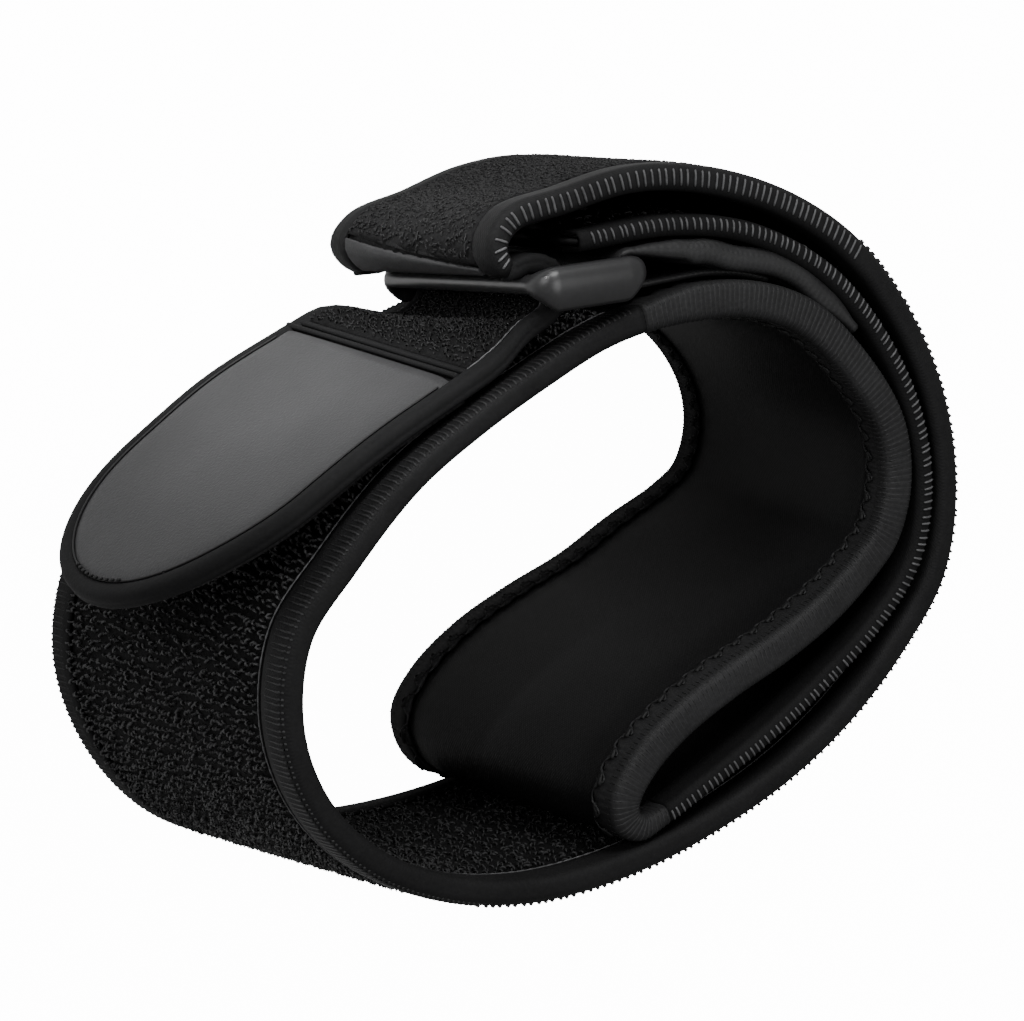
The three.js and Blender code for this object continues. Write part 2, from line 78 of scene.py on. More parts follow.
legRows = [
    (0.065, -0.39, 0.025, -0.085, 1, 0, 0.5), (0.115, -0.36, 0.035, -0.095, 1, 0, 0.5),
    (0.205, -0.304, 0.055, -0.085, 1, 0, 0.5), (0.29, -0.24, 0.07, -0.07, 1, 0, 0.5),
    (0.378, -0.16, 0.085, -0.045, 1, 0, 0.5), (0.435, -0.078, 0.085, -0.015, 1, 0, 0.5),
    (0.452, 0.015, 0.085, 0, 1, 0, 0.5), (0.438, 0.12, 0.08, 0, 1, 0, 0.5), (0.39, 0.23, 0.07, -0.01, 1, 0.02, 0.5),
    (0.303, 0.34, 0.05, -0.02, 1, 0.05, 0.5), (0.187, 0.408, 0.04, -0.02, 1, 0.1, 0.5),
    (0.075, 0.426, 0.035, -0.035, 0.99, 0.16, 0.5), (-0.055, 0.413, 0.035, -0.055, 0.98, 0.19, 0.5)]

ringCentre = np.array([ring["x"] * coil["across"], ring["y"] * coil["over"]])
barOffset = (ring["across"] - ring["bar"]) / 2 * np.array([1, ring["turn"]])
ringHeight = ring["low"] * coil["stripWide"] + ring["long"] / 2


# near = (x across, y over, top wide), far = near + lean wide, down to low wide
def stationsOfRows(rows, thick):
    table = np.array(rows, float)
    wide = coil["stripWide"]
    near = np.column_stack([table[:, 0] * coil["across"], table[:, 1] * coil["over"], table[:, 4] * wide])
    far = np.column_stack([near[:, 0] + table[:, 2] * wide, near[:, 1] + table[:, 3] * wide, table[:, 5] * wide])
    return near, far, table[:, 6] * thick


# the point x, y at the near edge's height, carried down along the ring's lean to z
def leaningWithRing(x, y, z):
    x, y, z = np.broadcast_arrays(x, y, z)
    below = coil["stripWide"] - z
    return np.stack([x + ring["leanX"] * below, y + ring["leanY"] * below, z], axis=-1)


def stationsRoundBar(rows):
    reach = ring["bar"] / 2 + clear["slack"] + walls["tab"] / 2
    slotHalf = ring["long"] / 2 - ring["corner"] - clear["slack"]
    place = ringCentre - barOffset + np.array(rows) * reach
    near = leaningWithRing(place[:, 0], place[:, 1], ringHeight + slotHalf)
    far = leaningWithRing(place[:, 0], place[:, 1], ringHeight - slotHalf)
    return near, far, np.full(len(rows), walls["tab"])


# centripetal Catmull-Rom: p = p1 + t1 w + (3 d - 2 t1 - t2) w^2 + (t1 + t2 - 2 d) w^3, with d = p2 - p1
def throughPoints(points, places):
    last = len(points) - 1
    before = np.clip(places.astype(int), 0, last - 1)
    w = (places - before)[:, None]
    ends = np.vstack([2 * points[0] - points[1], points, 2 * points[-1] - points[-2]])
    p0, p1, p2, p3 = (ends[before + i] for i in range(4))
    g0, g1, g2 = (np.linalg.norm(b - a, axis=1)[:, None] ** 0.5 for a, b in ((p0, p1), (p1, p2), (p2, p3)))
    t1 = ((p1 - p0) / g0 - (p2 - p0) / (g0 + g1) + (p2 - p1) / g1) * g1
    t2 = ((p2 - p1) / g1 - (p3 - p1) / (g1 + g2) + (p3 - p2) / g2) * g1
    d = p2 - p1
    return p1 + t1 * w + (3 * d - 2 * t1 - t2) * w ** 2 + (t1 + t2 - 2 * d) * w ** 3


# a strip of cloth, whose points are found from run (along), deep (from the near edge) and off (to its right)
class Strip:
    def __init__(self, near, far, thick, fine=0.02):
        self.last = len(near) - 1
        self.places = np.arange(0, self.last + fine / 2, fine)
        counts = np.arange(self.last + 1)
        self.near, self.far = throughPoints(near, self.places), throughPoints(far, self.places)
        self.near[:, 2] = np.interp(self.places, counts, near[:, 2])
        self.far[:, 2] = np.interp(self.places, counts, far[:, 2])
        self.half = np.interp(self.places, counts, thick) / 2
        middle = (self.near + self.far) / 2
        self.runs = np.append(0, np.cumsum(np.linalg.norm(np.diff(middle, axis=0), axis=1)))
        along = np.gradient(self.near, axis=0) + np.gradient(self.far, axis=0)
        right = np.column_stack([along[:, 1], -along[:, 0], np.zeros(len(along))])
        self.right = right / np.linalg.norm(right, axis=1)[:, None]
        self.wide = np.linalg.norm(self.far - self.near, axis=1)

    def at(self, table, run):
        if table.ndim == 1:
            return np.interp(run, self.runs, table)
        return np.stack([np.interp(run, self.runs, table[:, i]) for i in range(3)], axis=-1)

    def runOf(self, place):
        return float(np.interp(place, self.places, self.runs))

    def halfAt(self, run):
        return self.at(self.half, run)

    def wideAt(self, run):
        return self.at(self.wide, run)

    # point = near + (far - near) deep / wide + right off
    def point(self, run, deep, off):
        run, deep, off = np.broadcast_arrays(run, deep, off)
        near, far = self.at(self.near, run), self.at(self.far, run)
        share = (deep / self.wideAt(run))[..., None]
        return near + (far - near) * share + self.at(self.right, run) * off[..., None]


parts = [stationsOfRows(tabRows, walls["tab"]), stationsRoundBar(barRows), stationsOfRows(topRows, walls["band"]),
         stationsOfRows(outerRows, walls["band"]), stationsOfRows(padRows, walls["pad"]),
         stationsOfRows(legRows, walls["pad"])]
strip = Strip(*(np.concatenate(column) for column in zip(*parts)))
bandPlace = len(tabRows) + len(barRows)
padPlace = bandPlace + len(topRows) + len(outerRows)
bandRun, padRun, endRun = strip.runOf(bandPlace), strip.runOf(padPlace), strip.runs[-1]
stretch = {"bottomRow": 7, "insideRow": 11, "ribsAfter": 52, "legAfter": 0.6}
# the top stretch ends, the outer face comes round to the left, and the inner face comes into view
topStop = strip.runOf(bandPlace + len(topRows))
bottomRun = strip.runOf(bandPlace + len(topRows) + stretch["bottomRow"])
insideStart = strip.runOf(bandPlace + stretch["insideRow"])
foldRun = strip.runOf(padPlace + len(padRows))  # the pad's fold at the bottom
legRun = foldRun + stretch["legAfter"]          # where the leg's own binding begins, behind the fold
tabEndRun, bandEndRun = bandRun - clear["tabGap"], padRun - clear["padGap"]
print("route:", round(endRun), "mm of strip, band from", round(bandRun), "pad from", round(padRun))


# points in mm to a mesh in metres in the model's frame, with the strip's own lengths kept as its UV map
def putMesh(name, points, faces, uv=None):
    flat = (np.asarray(points).reshape(-1, 3) + coil["shift"]) * mm
    mesh = bpy.data.meshes.new(name)
    mesh.from_pydata(flat.tolist(), [], faces)
    if uv is not None:
        corners = np.empty(len(mesh.loops), int)
        mesh.loops.foreach_get("vertex_index", corners)
        layer = mesh.uv_layers.new(name="strip")
        layer.data.foreach_set("uv", np.asarray(uv, float).reshape(-1, 2)[corners].ravel())
    mesh.polygons.foreach_set("use_smooth", [True] * len(mesh.polygons))
    mesh.update()
    piece = bpy.data.objects.new(name, mesh)
    bpy.context.scene.collection.objects.link(piece)
    return piece


# faces between rows and columns of a grid: (i, j), (i, j+1), (i+1, j+1), (i+1, j)
def gridFaces(rows, columns, roundRows=False, roundColumns=False, start=0):
    i = np.arange(rows if roundRows else rows - 1)[:, None]
    j = np.arange(columns if roundColumns else columns - 1)[None, :]
    nextI, nextJ = (i + 1) % rows, (j + 1) % columns
    quads = np.stack([i * columns + j, i * columns + nextJ, nextI * columns + nextJ, nextI * columns + j], axis=-1)
    return (quads.reshape(-1, 4) + start).tolist()


# merges doubled points and turns the faces of a closed piece outwards
def weldAndTurnOut(piece, near=1e-6):
    work = bmesh.new()
    work.from_mesh(piece.data)
    bmesh.ops.remove_doubles(work, verts=work.verts, dist=near)
    bmesh.ops.dissolve_degenerate(work, dist=near / 10, edges=work.edges)
    bmesh.ops.recalc_face_normals(work, faces=work.faces)
    if work.calc_volume(signed=True) < 0:
        bmesh.ops.reverse_faces(work, faces=work.faces)
    work.to_mesh(piece.data)
    work.free()
    piece.data.update()
    return piece


# a closed section carried along the strip; deeps and offs are (runs, columns)
def carried(name, runs, deeps, offs, path=strip):
    runs = runs[:, None] if runs.ndim == 1 else runs
    points = path.point(runs, deeps, offs)
    rows, columns = deeps.shape
    faces = gridFaces(rows, columns, roundColumns=True)
    faces += [list(range(columns)), list(range((rows - 1) * columns, rows * columns))[::-1]]
    uv = np.stack(np.broadcast_arrays(runs, deeps), axis=-1)
    return weldAndTurnOut(putMesh(name, points, faces, uv))


# tubes round many short paths at once: paths is (tubes, points, 3), radius a number or (tubes, points)
def threads(name, paths, radius, sides=4):
    paths = np.asarray(paths, float)
    tubes, count = paths.shape[:2]
    way = np.gradient(paths, axis=1)
    way /= np.linalg.norm(way, axis=2, keepdims=True) + 1e-9
    helper = np.where(np.abs(way[..., 2:3]) > 0.8, [1.0, 0, 0], [0, 0, 1.0])
    first = np.cross(way, helper)
    first /= np.linalg.norm(first, axis=2, keepdims=True) + 1e-9
    second = np.cross(way, first)
    angle = np.arange(sides) * 2 * np.pi / sides
    size = np.broadcast_to(radius, (tubes, count))[..., None, None]
    ringPoints = paths[:, :, None] + size * (first[:, :, None] * np.cos(angle)[:, None]
                                             + second[:, :, None] * np.sin(angle)[:, None])
    one = gridFaces(count, sides, roundColumns=True)
    starts = (np.arange(tubes) * count * sides)[:, None, None]
    faces = (np.array(one)[None] + starts).reshape(-1, 4).tolist()
    caps = np.array([list(range(sides))[::-1], list(range((count - 1) * sides, count * sides))])
    faces += (caps[None] + starts).reshape(-1, sides).tolist()
    return putMesh(name, ringPoints, faces)


# a shader node whose values are its own settings, or else its sockets
def addNode(tree, kind, **values):
    node = tree.nodes.new(kind)
    for key, value in values.items():
        if hasattr(node, key):
            setattr(node, key, value)
        else:
            node.inputs[key.replace("_", " ")].default_value = value
    return node


# mottled = two noises mixed, one coarse for wear and one fine for fibres; it puts out a tone and a height
def makeFibreGroup():
    group = bpy.data.node_groups.new("fibreMottle", "ShaderNodeTree")
    for name, start in (("Coarse Scale", 120.0), ("Fine Scale", 1800.0), ("Fine Share", 0.5)):
        socket = group.interface.new_socket(name=name, in_out="INPUT", socket_type="NodeSocketFloat")
        socket.default_value = start
    for name in ("Tone", "Height"):
        group.interface.new_socket(name=name, in_out="OUTPUT", socket_type="NodeSocketFloat")
    coming, going = addNode(group, "NodeGroupInput"), addNode(group, "NodeGroupOutput")
    place = addNode(group, "ShaderNodeTexCoord")
    coarse = addNode(group, "ShaderNodeTexNoise", Detail=3.0, Roughness=0.55)
    fine = addNode(group, "ShaderNodeTexNoise", Detail=2.0, Roughness=0.6)
    for noise, name in ((coarse, "Coarse Scale"), (fine, "Fine Scale")):
        group.links.new(place.outputs["Object"], noise.inputs["Vector"])
        group.links.new(coming.outputs[name], noise.inputs["Scale"])
    mix = addNode(group, "ShaderNodeMix", data_type="FLOAT")
    group.links.new(coming.outputs["Fine Share"], mix.inputs[0])
    group.links.new(coarse.outputs["Fac"], mix.inputs[2])
    group.links.new(fine.outputs["Fac"], mix.inputs[3])
    spread = addNode(group, "ShaderNodeMapRange")
    spread.inputs["From Min"].default_value, spread.inputs["From Max"].default_value = 0.3, 0.7
    group.links.new(mix.outputs[0], spread.inputs["Value"])
    group.links.new(spread.outputs["Result"], going.inputs["Tone"])
    group.links.new(fine.outputs["Fac"], going.inputs["Height"])
    return group


# weave = sin(along) sin(across) of the strip's own lengths, with Pitch in mm
def makeWeaveGroup():
    group = bpy.data.node_groups.new("stripWeave", "ShaderNodeTree")
    for name, start in (("Along Pitch", 0.8), ("Across Pitch", 0.8)):
        socket = group.interface.new_socket(name=name, in_out="INPUT", socket_type="NodeSocketFloat")
        socket.default_value = start
    group.interface.new_socket(name="Weave", in_out="OUTPUT", socket_type="NodeSocketFloat")
    group.interface.new_socket(name="Ribs", in_out="OUTPUT", socket_type="NodeSocketFloat")
    coming, going = addNode(group, "NodeGroupInput"), addNode(group, "NodeGroupOutput")
    place = addNode(group, "ShaderNodeUVMap", uv_map="strip")
    parts = addNode(group, "ShaderNodeSeparateXYZ")
    group.links.new(place.outputs["UV"], parts.inputs[0])
    waves = []
    for axis, name in (("X", "Along Pitch"), ("Y", "Across Pitch")):
        turns = addNode(group, "ShaderNodeMath", operation="DIVIDE")
        group.links.new(parts.outputs[axis], turns.inputs[0])
        group.links.new(coming.outputs[name], turns.inputs[1])
        full = addNode(group, "ShaderNodeMath", operation="MULTIPLY")
        full.inputs[1].default_value = 2 * np.pi
        group.links.new(turns.outputs[0], full.inputs[0])
        wave = addNode(group, "ShaderNodeMath", operation="SINE")
        group.links.new(full.outputs[0], wave.inputs[0])
        waves.append(wave)
    both = addNode(group, "ShaderNodeMath", operation="MULTIPLY")
    group.links.new(waves[0].outputs[0], both.inputs[0])
    group.links.new(waves[1].outputs[0], both.inputs[1])
    group.links.new(both.outputs[0], going.inputs["Weave"])
    group.links.new(waves[0].outputs[0], going.inputs["Ribs"])
    return group


fibreGroup, weaveGroup = makeFibreGroup(), makeWeaveGroup()


def placeGroup(tree, group, **values):
    node = tree.nodes.new("ShaderNodeGroup")
    node.node_tree = group
    for name, value in values.items():
        node.inputs[name.replace("_", " ")].default_value = value
    return node


# colour = mix(dark, light, tone); height = fibres + weave, as a bump of so many mm
def makeCloth(name, dark, light, rough, coarse=120.0, fine=1800.0, share=0.5, bump=0.06, weave=None, weaveOut="Weave",
              weaveBump=0.5, specular=0.3):
    material = bpy.data.materials.new(name)
    material.use_nodes = True
    tree = material.node_tree
    shader = tree.nodes["Principled BSDF"]
    fibres = placeGroup(tree, fibreGroup, Coarse_Scale=coarse, Fine_Scale=fine, Fine_Share=share)
    tone = addNode(tree, "ShaderNodeMix", data_type="RGBA")
    tone.inputs[6].default_value = (*dark, 1)
    tone.inputs[7].default_value = (*light, 1)
    tree.links.new(fibres.outputs["Tone"], tone.inputs[0])
    tree.links.new(tone.outputs[2], shader.inputs["Base Color"])
    height = fibres.outputs["Height"]
    if weave:
        woven = placeGroup(tree, weaveGroup, Along_Pitch=weave[0], Across_Pitch=weave[1])
        both = addNode(tree, "ShaderNodeMath", operation="MULTIPLY_ADD")
        both.inputs[1].default_value = weaveBump
        tree.links.new(woven.outputs[weaveOut], both.inputs[0])
        tree.links.new(height, both.inputs[2])
        height = both.outputs[0]
    relief = addNode(tree, "ShaderNodeBump", Strength=1.0, Distance=bump * mm)
    tree.links.new(height, relief.inputs["Height"])
    tree.links.new(relief.outputs["Normal"], shader.inputs["Normal"])
    shader.inputs["Roughness"].default_value = rough
    shader.inputs["Specular IOR Level"].default_value = specular
    return material


def grey(value, blue=0.03):
    return (value, value, value * (1 + blue))


finish = {
    "tabSkin": makeCloth("tabSkin", grey(0.0075), grey(0.0115), 0.7, bump=0.05, specular=0.08),
    "patchSkin": makeCloth("patchSkin", grey(0.03), grey(0.041), 0.55, coarse=90, fine=2600, bump=0.09, specular=0.2),
    "pileGround": makeCloth("pileGround", grey(0.003), grey(0.01), 0.9, coarse=500, bump=0.25, specular=0.1),
    # the loops are set lighter than the ground: partly the yarn's own tone, partly a painted highlight for the glints
    # the loops catch
    "pileLoops": makeCloth("pileLoops", grey(0.014), grey(0.075), 0.5, coarse=900, fine=3000, bump=0.02, specular=0.4),
    "napFibres": makeCloth("napFibres", grey(0.012), grey(0.045), 0.6, coarse=900, fine=3000, bump=0.02,
                           specular=0.3),
    # the top's nap and ground take tones of their own, cut down to take back the glow lamp's spill there: painted shade
    # on the same pile
    "topNap": makeCloth("topNap", grey(0.011), grey(0.021), 0.7, coarse=700, fine=3000, bump=0.02, specular=0.3),
    "topGroundPaintedShade": makeCloth("topGroundPaintedShade", grey(0.008), grey(0.014), 0.8, coarse=500, fine=2400, bump=0.2, specular=0.15),
    # the fold's smooth cloth, set far lighter than the tab's skin: its own smooth finish with painted light on a face
    # that turns away from the lamps
    "foldSkinPaintedLight": makeCloth("foldSkinPaintedLight", grey(0.034), grey(0.048), 0.8, coarse=300, fine=2400, bump=0.08, specular=0.2),
    "tabNap": makeCloth("tabNap", grey(0.005), grey(0.018), 0.6, coarse=900, fine=3000, bump=0.02, specular=0.3),
    "bandBinding": makeCloth("bandBinding", grey(0.008), grey(0.014), 0.65, weave=(0.5, 0.5), weaveBump=0.25,
                             bump=0.05, specular=0.12),
    "padBinding": makeCloth("padBinding", grey(0.012), grey(0.025), 0.6, weave=(0.8, 1.4), weaveOut="Ribs",
                            weaveBump=0.4, bump=0.06, specular=0.2),
    "legBinding": makeCloth("legBinding", grey(0.006), grey(0.011), 0.7, weave=(0.5, 0.5), weaveBump=0.25, bump=0.05,
                            specular=0.1),
    "padSatin": makeCloth("padSatin", grey(0.005), grey(0.008), 0.5, fine=2500, weave=(0.5, 0.5), weaveBump=0.3,
                          bump=0.03, specular=0.18),
    "thread": makeCloth("thread", grey(0.05), grey(0.12), 0.5, coarse=700, bump=0.03, specular=0.4),
    "ribThread": makeCloth("ribThread", grey(0.016), grey(0.036), 0.6, coarse=700, bump=0.03, specular=0.25),
    # dark tubes laid in the tab's groove and in needle holes: painted shade
    "paintedShadeThread": makeCloth("paintedShadeThread", grey(0.004), grey(0.01), 0.6, coarse=700, bump=0.03, specular=0.3),
    "tapeWeave": makeCloth("tapeWeave", grey(0.014), grey(0.023), 0.5, weave=(0.9, 0.6), weaveBump=0.3, bump=0.04,
                           specular=0.35),
    "hookGround": makeCloth("hookGround", grey(0.008), grey(0.02), 0.6, weave=(1.1, 1.1), weaveBump=0.8, bump=0.2,
                            specular=0.3),
    "ringPlastic": makeCloth("ringPlastic", grey(0.021), grey(0.029), 0.33, coarse=60, fine=900, bump=0.01,
                             specular=0.5),
}


# gives a piece its finish and its body, and hides the solids that it stands for
def dress(piece, material, slot, *nodes):
    piece.data.materials.clear()
    piece.data.materials.append(finish[material])
    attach(piece, "root")
    if nodes:
        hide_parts(*nodes)
    return piece


print("materials:", len(finish))

tab = {"radius": 24.94, "rimHigh": 0.75, "patchIn": 2.7, "patchLong": 47, "patchTop": 0.75, "seamIn": 2.7,
       "seamSunk": 0.42, "seamThread": 0.15, "stitchIn": 2.75, "stitchLong": 0.5, "stitchPitch": 1.35,
       "stitchSides": (-0.3, 0.26), "stitchSunk": 0.25, "stitchThread": 0.24, "hookLong": 48, "hookIn": 2.4,
       "weltAt": (50.9, 52.3), "weltIn": (2.4, 1.2), "weltRound": 0.42, "weltSunk": 0.55, "weltStep": 0.35,
       "pileFrom": 53.2, "pileShort": 9, "pileNear": 3.9, "pileFar": 0.9, "pileLift": 0.3}


# the round-ended outline, inset by d: on the straight sides (run, d), at the end
# (R - (R - d) cos a, middle +- (R - d) sin a)
def tabOutline(runEnd, straightStep=1.5, turns=48):
    straight = np.linspace(runEnd, tab["radius"], max(3, int((runEnd - tab["radius"]) / straightStep)))
    turn = np.linspace(-np.pi / 2, np.pi / 2, turns)[1:-1]
    run = np.concatenate([straight, np.full(len(turn), tab["radius"]), straight[::-1]])
    side = np.concatenate([np.full(len(straight), -np.pi / 2), turn, np.full(len(straight), np.pi / 2)])
    return run, side


def tabPoint(run, side, inset, off):
    left = tab["radius"] - inset
    along = run - left * np.cos(side) * (run <= tab["radius"] + 1e-6)
    deep = strip.wideAt(along) / 2 * (1 + left / tab["radius"] * np.sin(side))
    return strip.point(along, deep, off), np.stack([along, deep], axis=-1)


# a piece inside the outline: its profile goes from the middle of one face, over the rim, to the middle of the other
def tabPiece(name, runEnd, profile):
    run, side = tabOutline(runEnd)
    insets, offs = np.array(profile, float).T
    points, uv = tabPoint(run[:, None], side[:, None], insets[None], np.broadcast_to(offs, (len(run), len(offs))))
    rows, columns = points.shape[:2]
    faces = gridFaces(rows, columns)
    first, last = list(range(columns)), list(range((rows - 1) * columns, rows * columns))
    faces.append(first[::-1] + last)
    return weldAndTurnOut(putMesh(name, points, faces, uv), near=2e-6)


# profiles: (inset, off), where off is from the strip's middle, minus on the patch's side
tabHalf, middle = walls["tab"] / 2, tab["radius"]
rimTop = -tabHalf - tab["rimHigh"]
bodyProfile = [
    (middle, -1), (12, -1), (3.2, -1), (2.75, -1.05), (2.6, rimTop + 0.35), (2.3, rimTop + 0.1), (1.8, rimTop),
    (1.2, rimTop), (0.6, rimTop + 0.12), (0.2, rimTop + 0.4), (0, -0.75), (0, -0.35), (0.08, -0.15), (0.02, 0.05),
    (0, 0.35), (0.15, 0.7), (0.5, 0.95), (1, 1), (3, 1), (12, 1), (middle, 1)]
dress(tabPiece("tab_body", tabEndRun, bodyProfile), "tabSkin", "tab_fabric", "tab_strap")

patchBack = -tabHalf - clear["layer"]
patchFace = patchBack - tab["patchTop"]
patchProfile = [
    (middle, patchFace + 0.05), (20, patchFace + 0.05), (12, patchFace + 0.08), (7, patchFace + 0.12),
    (5, patchFace + 0.17), (4.2, patchFace + 0.24), (3.6, patchFace + 0.36), (3.1, patchFace + 0.5), (2.85, -1.5),
    (2.75, -1.45), (2.7, patchBack + 0.1), (3, patchBack), (12, patchBack), (middle, patchBack)]
dress(tabPiece("tab_grip_patch", tab["patchLong"] + tab["patchIn"], patchProfile), "patchSkin", "grip_patch",
      "tab_patch")

hookBack = tabHalf + clear["layer"]
hookProfile = [
    (middle, hookBack), (12, hookBack), (2.7, hookBack), (2.45, hookBack + 0.1), (2.4, hookBack + 0.45),
    (2.45, hookBack + 0.8), (2.8, hookBack + 0.9), (12, hookBack + 0.9), (middle, hookBack + 0.9)]
dress(tabPiece("tab_hook_strip", tab["hookLong"] + tab["hookIn"], hookProfile), "hookGround", "hook_tape", "tab_hook")

# a dark tube in the groove round the patch, and short dark stitches in it at the round end: painted shade of the groove
# and of the stitches' holes
outRun, outSide = tabOutline(tab["patchLong"] + 1, straightStep=0.3, turns=240)
seamPoints, _ = tabPoint(outRun, outSide, np.full(len(outRun), tab["seamIn"]),
                         np.full(len(outRun), patchFace + tab["seamSunk"]))
dress(threads("tab_groove", seamPoints[None], tab["seamThread"], sides=5), "paintedShadeThread", "tab_fabric")
perMm = 1 / (tab["radius"] - tab["stitchIn"])
sides = np.arange(*tab["stitchSides"], tab["stitchPitch"] * perMm)[:, None]
sides = sides + np.linspace(0, tab["stitchLong"] * perMm, 5)[None]
dip = np.array([0.0, 0.08, 0.1, 0.08, 0.0])[None]
stitchPoints, _ = tabPoint(np.full(sides.shape, tab["radius"]), sides, np.full(sides.shape, tab["stitchIn"]),
                           patchFace + tab["stitchSunk"] - dip)
dress(threads("tab_stitches", stitchPoints, tab["stitchThread"], sides=5), "paintedShadeThread", "tab_fabric")


# two cords across the tab behind the patch, the first one a step higher
def tabWelts():
    tabWide = coil["stripWide"] * (tabRows[0][4] - tabRows[0][5])
    deep = np.linspace(tab["weltIn"][0], tabWide - tab["weltIn"][1], 60)
    rows = np.array(tab["weltAt"])[:, None]
    off = -tabHalf - tab["weltRound"] * tab["weltSunk"] - tab["weltStep"] * (np.arange(2)[:, None] == 0)
    return threads("tab_welts", strip.point(rows, deep[None], off), tab["weltRound"], sides=8)


# a thin facing laid on the strip's left face, its borders rounded down to the cloth; skews move its ends' far corners
def facing(name, startRun, stopRun, nearIn, farIn, rise, startSkew=0.0, stopSkew=0.0):
    rows = max(6, int(stopRun - startRun))
    along = np.concatenate([[0, 0.01], np.linspace(0.03, 0.97, rows), [0.99, 1]])[:, None]
    share = np.array([0, 0.004, 0.01, 0.25, 0.5, 0.75, 0.99, 0.996, 1])[None]
    roundOver = np.array([0.1, 0.7, 1, 1, 1, 1, 1, 0.7, 0.1])[None]
    first, last = startRun + startSkew * share, stopRun + stopSkew * share
    runs = first + (last - first) * along
    wide, half = strip.wideAt(runs), strip.halfAt(runs)
    height = rise * roundOver * np.interp(np.minimum(along, 1 - along), [0, 0.01, 0.03], [0.1, 0.7, 1])
    deeps = nearIn + (wide - nearIn - farIn) * share
    return carried(name, np.hstack([runs, runs[:, ::-1]]), np.hstack([deeps, deeps[:, ::-1]]),
                   np.hstack([-half - height, -half[:, ::-1] - 0.02]))


dress(tabWelts(), "tabSkin", "tab_fabric")
dress(facing("tab_pile_panel", tab["pileFrom"], tabEndRun - tab["pileShort"], tab["pileNear"], tab["pileFar"],
             tab["pileLift"]), "pileGround", "tab_fabric")
print("tab made")


band = {"deep": 5.0, "cloth": 0.7, "proud": 0.3, "round": 1.3, "bump": 0.1}


# a wall between its bindings: each face is flat in the middle and dips under the binding's edge
def boundWall(name, startRun, stopRun, step, crown=0.0, bump=0.0, columns=36):
    runs = np.linspace(startRun, stopRun, int((stopRun - startRun) / step) + 1)
    half, wide = strip.halfAt(runs)[:, None], strip.wideAt(runs)[:, None]
    lip = half + band["proud"] - band["cloth"] - clear["layer"]
    edge = band["deep"] + clear["layer"]
    tuck = band["cloth"] + clear["layer"]
    share = np.linspace(0, 1, columns)[None]
    faceDeep = edge + 0.1 + (wide - 2 * edge - 0.2) * share
    faceOff = half + crown * np.sin(np.pi * share) ** 0.6 - 0.35 * (np.cos(np.pi * share) ** 40)
    ones = np.ones_like(runs)[:, None]
    nearLip, farLip = [tuck * ones, edge * ones], [wide - edge, wide - tuck]
    deeps = np.hstack([*nearLip, faceDeep, *farLip, *[d[:, ::-1] for d in farLip[::-1]], faceDeep[:, ::-1],
                       *nearLip[::-1]])
    offs = np.hstack([-lip, -lip, -faceOff, -lip, -lip, lip, lip, faceOff[:, ::-1], lip, lip])
    if bump:
        rough = chance.normal(0, bump, offs.shape)
        offs = offs + rough * (np.abs(np.abs(offs) - half) < 0.3)
    return carried(name, runs, deeps, offs)


# a folded tape: in along one face, round the edge and back; in the turn deep = bend (1 - sin a), off = outer - bend
# (1 - cos a), and pucker is a wave of its lip
def bindingTape(name, startRun, stopRun, far, step=0.7, pucker=0.0, puckerPitch=3.3):
    runs = np.linspace(startRun, stopRun, int((stopRun - startRun) / step) + 1)
    half, wide = strip.halfAt(runs)[:, None], strip.wideAt(runs)[:, None]
    outer = half + band["proud"]
    bend = np.minimum(band["round"], outer * 0.85)
    turn = np.linspace(0, np.pi / 2, 6)[None]
    wave = pucker * np.sin(2 * np.pi * runs / puckerPitch)[:, None]
    flatDeep = np.hstack([band["deep"] + wave * 0.6, band["deep"] + wave * 0.6 - 0.15, 3.4 + wave * 0,
                          2.2 + wave * 0])
    flatOff = np.hstack([outer - 0.35, outer - 0.04 + wave * 0.25, outer + 0.05 - np.abs(wave) * 0.3, outer])
    turnDeep = bend * (1 - np.sin(turn))
    turnOff = outer - bend * (1 - np.cos(turn))
    oneSide = (np.hstack([flatDeep, turnDeep]), np.hstack([flatOff, turnOff]))
    inDeep = np.hstack([band["deep"] + wave * 0.6, band["cloth"] * np.ones_like(half)])
    inOff = np.hstack([outer - band["cloth"], outer - band["cloth"]])
    deeps = np.hstack([oneSide[0], oneSide[0][:, ::-1], inDeep, inDeep[:, ::-1]])
    offs = np.hstack([-oneSide[1], oneSide[1][:, ::-1], inOff, -inOff[:, ::-1]])
    return carried(name, runs, wide - deeps if far else deeps, offs)


dress(boundWall("band_wall", bandRun, bandEndRun, 1.0, bump=band["bump"]), "pileGround", "loop_pile", "strap_band")
for far in (False, True):
    word = "far" if far else "near"
    edge = bindingTape(f"band_binding_{word}", bandRun, bandEndRun, far)
    dress(edge, "bandBinding", "binding", f"strap_band_edge_{word}")
topCloth = {"start": 0.3, "from": 1.7, "skew": 2.8, "inset": 5.4, "lift": 0.35, "groove": 0.4}
topInset, topFrom = topCloth["inset"], bandRun + topCloth["from"]
# the fold's facing: smooth cloth whose lighter tone is painted light on its down-turned face
dress(facing("band_fold_facing", bandRun + topCloth["start"], topFrom - topCloth["groove"], topInset, topInset,
             topCloth["lift"], stopSkew=topCloth["skew"]), "foldSkinPaintedLight", "loop_pile")
# the top panel's ground takes a tone of its own, cut down against the glow lamp's spill: painted shade
dress(facing("band_top_panel", topFrom, topStop, topInset, topInset, topCloth["lift"], startSkew=topCloth["skew"]),
      "topGroundPaintedShade", "loop_pile")
print("band made")

